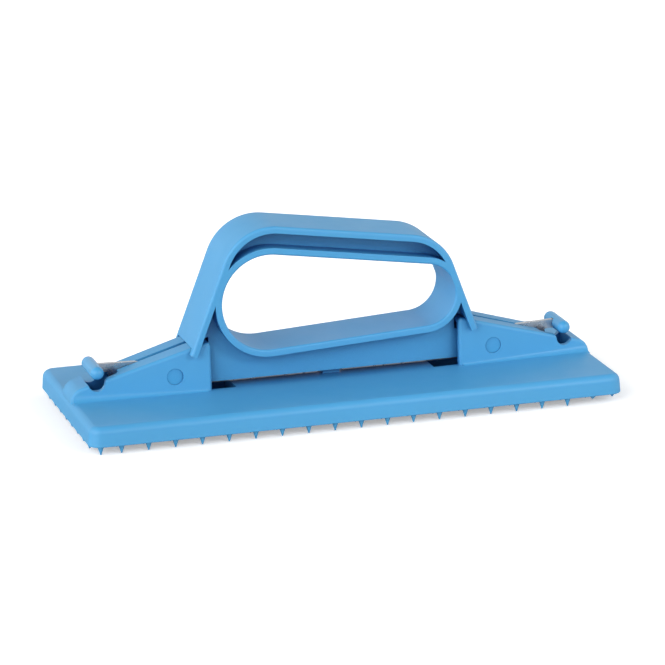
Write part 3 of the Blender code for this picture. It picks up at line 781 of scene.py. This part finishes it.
# Two arcs of unlike radius, joined by the straight lines that touch both
def ringPath(outset):
    size = handleSizes
    left, right = size["leftCentre"], size["rightCentre"]
    span = (right[0] - left[0], right[1] - left[1])
    tilt = math.degrees(math.atan2(span[1], span[0]))
    spread = math.degrees(math.acos((size["leftRadius"] - size["rightRadius"]) / math.hypot(*span)))
    wide = arc(left, size["leftRadius"] + outset, tilt + spread, tilt - spread + 360.0, size["steps"])
    return wide + arc(right, size["rightRadius"] + outset, tilt - spread, tilt + spread, size["steps"])


# A band between two paths, with the edges along two of its four corners well rounded
def bandObject(name, outer, inner, occlusion, rounded, width):
    size = handleSizes
    shape = bmesh.new()
    layer = shape.edges.layers.float.new("bevel_weight_edge")
    rows = []
    for outside, inside in zip(outer, inner):
        rows.append([
            shape.verts.new((across * mm, face * size["half"] * mm, (height + rimHeight) * mm))
            for (across, height), face in ((outside, -1), (outside, 1), (inside, 1), (inside, -1))])
    pairs = list(zip(rows, rows[1:]))
    if occlusion:
        pairs.append((rows[-1], rows[0]))
    else:
        shape.faces.new(rows[0])
        shape.faces.new(rows[-1])
    for first, second in pairs:
        for corner in range(4):
            after = (corner + 1) % 4
            shape.faces.new((first[corner], first[after], second[after], second[corner]))
        for corner in range(4):
            edge = shape.edges.get((first[corner], second[corner]))
            edge[layer] = 1.0 if corner in rounded else size["backRound"]
    bmesh.ops.recalc_face_normals(shape, faces=shape.faces)
    item = addObject(name, newMesh(name, shape))
    bevelEdges(item, width, size["roundSteps"], "WEIGHT")
    return item


# The web's end on one side, from the leg down to its tongue with the snap barb
def webEnd(side):
    size = handleSizes
    atRim, lean = size["legs"][side]
    inside = atRim - lean * housingSizes["top"] - size["band"]
    inner = housingSizes["inner"] - gap
    return [
        (inside, housingTop(inside) + gap * 2.0), (inner, housingTop(inner) + gap * 2.0),
        (inner, size["tongueTop"]), (size["barbStart"], size["tongueTop"]),
        (size["barbStart"], size["barbTop"]), (size["tongueEnd"] - gap, size["barbTop"]),
        (size["tongueEnd"], size["tongueTop"]), (size["tongueEnd"], size["webBottom"])]


def makeHandle(material):
    size = handleSizes
    band = size["band"]
    item = bandObject("loop_handle", strapPath(0.0), strapPath(band), False, (0, 1), size["strapRound"])
    inner, outer = housingSizes["inner"] - gap, size["legs"][-1][0]
    foot = plateSizes["height"]
    for side in (-1, 1):
        saddle = [(inner, foot), (inner, housingTop(inner) + gap),
                  (outer, housingTop(outer) + gap), (outer, foot)]
        cut(item, outlineMesh("saddle", [mirrored(saddle, side)], (housingSizes["half"] + gap) * 2.0))
    ring = bandObject("ring", ringPath(band), ringPath(0.0), True, (2, 3), size["ringRound"])
    path = strapPath(band / 2.0)
    limit = path + [(path[-1][0], 0.0), (path[0][0], 0.0)]
    combine(ring, outlineMesh("limit", [limit], (size["half"] + overlap) * 2.0), "INTERSECT")
    weld(item, takeMesh(ring))
    outline = path[1:-1] + webEnd(1) + list(reversed(mirrored(webEnd(-1), -1)))
    weld(item, outlineMesh("web", [outline, ringPath(band / 2.0)], size["webHalf"] * 2.0))
    hollow = size["webHalf"] - size["webSkin"]
    cut(item, boxesMesh("cavity", [(
        (-deep * 2.0, deep * 2.0), (-hollow, hollow), (0.0, size["webCeiling"]))]))
    finishPiece(item, "body", ["handle"], material)
    print("handle:", len(item.data.polygons), "faces")


# Clamps, each a steel lever with claws and a plastic crossbar, on a pin through its housing
leverSizes = {
    "blade": 2.0, "bladeGap": 0.4, "edge": 0.18, "edgeSteps": 2, "holeSteps": 48,
    "armTip": 5.0, "armRest": 8.8, "armHeight": 2.9, "tipSteps": 16,
    "elbow": ((60.0, 0.0), (66.0, 1.0), (77.0, 1.0)),  # raised above the arm's underside
    "clawTop": 15.0, "clawNeck": 12.6, "clawTip": -1.6,
    "innerClaw": (85.3, 86.1, 86.9, 88.8), "arch": (89.6, 91.4), "outerClaw": (92.2, 95.3, 96.1, 96.9),
    "tab": [(98.85, 18.25), (105.2, 18.25), (105.2, 22.15)],
    "back": [(86.1, 21.5), (84.15, 20.9), (68.0, 20.9), (60.8, 18.5)],
}
gripSizes = {
    "centre": (104.6, 20.2), "radius": 2.9, "length": 22.0, "sides": 48, "endSteps": 14, "sharp": 45.0,
    "notchGap": 0.8, "notchSteps": 32, "slotEnd": 105.4, "slotHeights": (18.0, 22.3), "slotGap": 0.2,
}
pinSizes = {
    "pivot": (71.3, 15.9), "radius": 3.45, "boreGap": 0.15, "boreEdge": 0.1, "bearingWall": 1.8,
    "bearingSteps": 24, "sides": 64, "recess": 0.3, "fit": 0.02, "edge": 0.05, "edgeSteps": 4,
}


# From the arm's rounded tip along its underside, round the claws and the tab, and back on top
def leverOutline():
    size = leverSizes
    rest, half = size["armRest"], size["armHeight"] / 2.0
    top, neck, tip = size["clawTop"], size["clawNeck"], size["clawTip"]
    arm = arc((size["armTip"] + half, rest + half), half, 90.0, 270.0, size["tipSteps"])
    arm += [(across, rest + raised) for across, raised in size["elbow"]]
    claws = list(zip(size["innerClaw"], (neck, tip, tip, neck)))
    claws += [(across, top) for across in size["arch"]]
    claws += list(zip(size["outerClaw"], (neck, tip, tip, top)))
    return arm + claws + size["tab"] + size["back"]


def makeLever(side, word, material):
    size = leverSizes
    hole = arc(pinSizes["pivot"], boreRadius(), 0.0, 360.0, size["holeSteps"])[:-1]
    loops = [mirrored(leverOutline(), side), mirrored(hole, side)]
    item = addObject(f"clamp_blade_{word}", outlineMesh("blade", loops, size["blade"]))
    bevelEdges(item, size["edge"], size["edgeSteps"])
    finishPiece(item, f"{word}_clamp", [f"lever_{word}"], material)


def makeGrip(side, word, material):
    size = gripSizes
    radius, centre = size["radius"], size["centre"]
    straight = size["length"] / 2.0 - radius
    profile = arc((0.0, straight), radius, 90.0, 0.0, size["endSteps"])
    profile += arc((0.0, -straight), radius, 0.0, -90.0, size["endSteps"])
    turn = Matrix.Rotation(math.radians(90.0), 4, "X")
    place = Matrix.Translation((side * centre[0] * mm, 0.0, (centre[1] + rimHeight) * mm))
    item = addObject(f"crossbar_{word}", turnedMesh("crossbar", profile, size["sides"], place @ turn))
    half = leverSizes["blade"] / 2.0 + size["slotGap"]
    reach = ordered(side, centre[0] - radius * 2.0, size["slotEnd"])
    cut(item, boxesMesh("slot", [(reach, (-half, half), size["slotHeights"])]))
    finishPiece(item, f"{word}_clamp", [f"grip_{word}"], material, size["sharp"])


def makePin(side, word, material):
    size = pinSizes
    half = draftedHalf(size["pivot"][0] + size["radius"], size["pivot"][1] + size["radius"])
    pin = crossPin("pin", boreRadius() - size["fit"], half - size["recess"], size["edge"])
    item = addObject(f"pin_{word}", atPivot(pin, side))
    finishPiece(item, "body", [f"pivot_pin_{word}"], material)


# Light and floor, in metres. A lobe of light is (azimuth, elevation, strength).
lightTarget = (0.0, 0.0, 0.03)
lightSetup = {
    "key": {"place": (-1.3, -1.7, 1.3), "size": 0.45, "power": 5.0},
    "fill": {"place": (0.9, -1.9, 1.1), "size": 0.4, "power": 9.0},
}
worldSetup = {
    "tightness": 4.0, "sheen": 0.55, "mirrored": 0.45, "white": (1.0, 1.0, 1.0, 1.0),
    "lobes": {
        "leftLow": (180.0, 8.0, 3.5), "frontLeftLow": (-135.0, 8.0, 2.4),
        "frontRightLow": (-45.0, 8.0, 1.3), "rightLow": (0.0, 8.0, 2.1), "backLow": (90.0, 8.0, 0.8),
    },
}
floorSetup = {
    "seen": (0.9, 0.9, 0.9, 1.0), "lit": (0.5, 0.5, 0.5, 1.0), "roughness": 0.9, "glow": 0.35,
    "half": 6.0, "segments": 8,
}


def addLights(setup):
    for name, light in setup.items():
        lamp = bpy.data.lights.new(name, "AREA")
        lamp.shape = "DISK"
        lamp.size = light["size"]
        lamp.energy = light["power"]
        holder = addObject(name, lamp)
        holder.location = light["place"]
        aim = Vector(lightTarget) - Vector(light["place"])
        holder.rotation_euler = aim.to_track_quat("-Z", "Y").to_euler()


def lobeLight(tree, direction, azimuth, elevation, strength):
    turn, rise = math.radians(azimuth), math.radians(elevation)
    towards = tree.nodes.new("ShaderNodeVectorMath")
    towards.operation = "DOT_PRODUCT"
    towards.inputs[1].default_value = (
        math.cos(rise) * math.cos(turn), math.cos(rise) * math.sin(turn), math.sin(rise))
    tree.links.new(direction, towards.inputs[0])
    value = mathNode(tree, "MAXIMUM", towards.outputs["Value"], 0.0)
    value = mathNode(tree, "POWER", value, worldSetup["tightness"])
    return mathNode(tree, "MULTIPLY", value, strength)


# Soft lobes light the object, reflections see them dimmed with a sheen, and the camera sees white
def addWorld(setup):
    world = bpy.data.worlds.new("studio")
    bpy.context.scene.world = world
    world.use_nodes = True
    tree = world.node_tree
    direction = tree.nodes.new("ShaderNodeTexCoord").outputs["Generated"]
    lights = [lobeLight(tree, direction, *lobe) for lobe in setup["lobes"].values()]
    total = lights[0]
    for light in lights[1:]:
        total = mathNode(tree, "ADD", light, total)
    path = tree.nodes.new("ShaderNodeLightPath")
    sheen = mathNode(tree, "MAXIMUM", axisNode(tree, direction, "Y"), 0.0)
    sheen = mathNode(tree, "MULTIPLY", sheen, setup["sheen"])
    reflected = mathNode(tree, "ADD", mathNode(tree, "MULTIPLY", total, setup["mirrored"]), sheen)
    back = tree.nodes["Background"]
    back.inputs["Color"].default_value = setup["white"]
    lit = mixNode(tree, "FLOAT", path.outputs["Is Glossy Ray"], total, reflected)
    tree.links.new(lit, back.inputs["Strength"])
    white = tree.nodes.new("ShaderNodeBackground")
    white.inputs["Color"].default_value = setup["white"]
    mix = tree.nodes.new("ShaderNodeMixShader")
    tree.links.new(path.outputs["Is Camera Ray"], mix.inputs["Fac"])
    tree.links.new(back.outputs["Background"], mix.inputs[1])
    tree.links.new(white.outputs["Background"], mix.inputs[2])
    tree.links.new(mix.outputs["Shader"], tree.nodes["World Output"].inputs["Surface"])


# The floor glows for the camera, so that it shows white, and can't be seen from below
def addFloor(setup):
    shape = bmesh.new()
    bmesh.ops.create_grid(
        shape, x_segments=setup["segments"], y_segments=setup["segments"], size=setup["half"])
    floor = addObject("floor", newMesh("floor", shape))
    material = bpy.data.materials.new("floor")
    material.use_nodes = True
    tree = material.node_tree
    shader = tree.nodes["Principled BSDF"]
    shader.inputs["Roughness"].default_value = setup["roughness"]
    seen = tree.nodes.new("ShaderNodeLightPath").outputs["Is Camera Ray"]
    below = tree.nodes.new("ShaderNodeNewGeometry").outputs["Backfacing"]
    colour = mixNode(tree, "RGBA", seen, setup["lit"], setup["seen"])
    tree.links.new(colour, shader.inputs["Base Color"])
    tree.links.new(mathNode(tree, "SUBTRACT", 1.0, below), shader.inputs["Alpha"])
    glow = mathNode(tree, "MULTIPLY", seen, setup["glow"])
    tree.links.new(glow, shader.inputs["Emission Strength"])
    floor.data.materials.append(material)


def main():
    addCamera(cameraSetup)
    plasticGroup = makePlasticGroup(plasticSurface)
    plastic = makeMaterial("blue_plastic_moulded", plasticGroup, plasticSurface)
    gripPlastic = makeMaterial("grip_plastic_moulded", plasticGroup, gripSurface)
    steel = makeMaterial("stainless_steel_brushed", makeSteelGroup(steelSurface), steelSurface)
    print("camera and materials made")
    makePlate(plastic)
    makeHandle(plastic)
    for side, word in ((-1, "left"), (1, "right")):
        makeLever(side, word, steel)
        makeGrip(side, word, gripPlastic)
        makePin(side, word, gripPlastic)
    print("clamps made")
    addWorld(worldSetup)
    addLights(lightSetup)
    addFloor(floorSetup)
    bpy.context.scene.view_settings.view_transform = "Standard"
    print("light and floor made")
    bpy.context.view_layer.update()


main()
